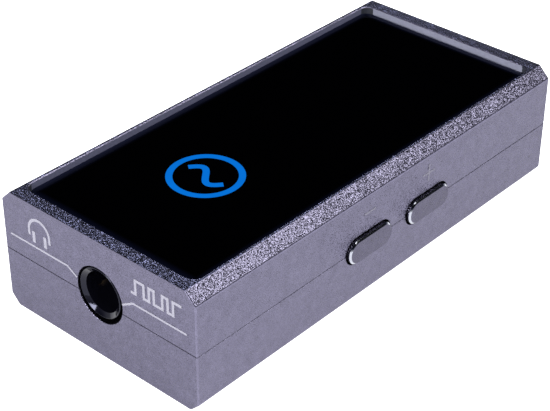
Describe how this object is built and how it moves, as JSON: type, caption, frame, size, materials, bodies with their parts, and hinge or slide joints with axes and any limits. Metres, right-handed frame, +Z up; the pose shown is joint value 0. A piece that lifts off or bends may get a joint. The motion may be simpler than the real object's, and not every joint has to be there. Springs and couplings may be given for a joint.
{
  "type": "portable usb dac and headphone amplifier",
  "caption": "Small chamfered metal box with a recessed black glass top, a headphone jack at one end, a USB-C socket at the other and two side volume buttons.",
  "frame": {"origin": "centre of the underside", "axes": "+Z up through the cover glass, +Y towards the end with the USB socket, -Y towards the headphone jack, +X towards the volume buttons"},
  "size_m": [0.0234, 0.049, 0.012],
  "materials": {
    "body_metal": "bead-blasted and anodised grey with a violet cast, fine sparkling grain",
    "button_metal": "bead-blasted and anodised grey, a little darker than the body",
    "cover_glass": "black mirror gloss, printed black behind",
    "gasket_foam": "black foam adhesive",
    "clear_plastic": "clear moulded acrylic",
    "board": "dark green solder mask",
    "chip_plastic": "matt black epoxy",
    "moulded_plastic": "black moulded, semi-matt",
    "steel": "nickel-plated",
    "gold_contact": "gold-plated spring metal",
    "tantalum": "moulded ochre epoxy",
    "ferrite": "pressed ferrite",
    "led": "clear resin over a white base",
    "lit_symbol": "blue light through a clear window in the glass's black print",
    "white_ink": "pale pad-printed ink",
    "engraved_mark": "faint laser-marked metal",
    "thermal_gel": "soft grey-blue gap pad"
  },
  "bodies": {
    "housing": {"lower_shell": "body_metal", "upper_shell": "body_metal", "cover_glass": "cover_glass", "glass_gasket": "gasket_foam", "light_guide": "clear_plastic", "circuit_board": "board", "volume_up_switch": "moulded_plastic", "volume_down_switch": "moulded_plastic", "jack_housing": "moulded_plastic", "optical_emitter": "moulded_plastic", "optical_lens": "clear_plastic", "jack_tip_spring": "gold_contact", "jack_ring_spring": "gold_contact", "jack_sleeve_spring": "gold_contact", "usb_socket_shell": "steel", "usb_socket_tongue": "moulded_plastic", "dac_chip": "chip_plastic", "headphone_amplifier_chip": "chip_plastic", "usb_bridge_chip": "chip_plastic", "usb_surge_protector": "chip_plastic", "regulator_analog": "chip_plastic", "regulator_digital": "chip_plastic", "clock_oscillator_44k": "steel", "clock_oscillator_48k": "steel", "power_inductor": "ferrite", "output_capacitor_left": "tantalum", "output_capacitor_right": "tantalum", "supply_capacitor_analog": "tantalum", "supply_capacitor_digital": "tantalum", "symbol_led": "led", "thermal_pad": "thermal_gel", "housing_screw_1": "steel", "housing_screw_2": "steel", "housing_screw_3": "steel", "housing_screw_4": "steel"},
    "volume_up_button": {"volume_up_cap": "button_metal", "volume_up_plunger": "moulded_plastic", "volume_up_dome": "steel"},
    "volume_down_button": {"volume_down_cap": "button_metal", "volume_down_plunger": "moulded_plastic", "volume_down_dome": "steel"}
  },
  "joints": [
    {"name": "volume_up_press", "type": "slide", "parent": "housing", "child": "volume_up_button", "axis": [-1, 0, 0], "range_m": [0, 0.00025], "stiffness_N_per_m": 2000},
    {"name": "volume_down_press", "type": "slide", "parent": "housing", "child": "volume_down_button", "axis": [-1, 0, 0], "range_m": [0, 0.00025], "stiffness_N_per_m": 2000}
  ]
}
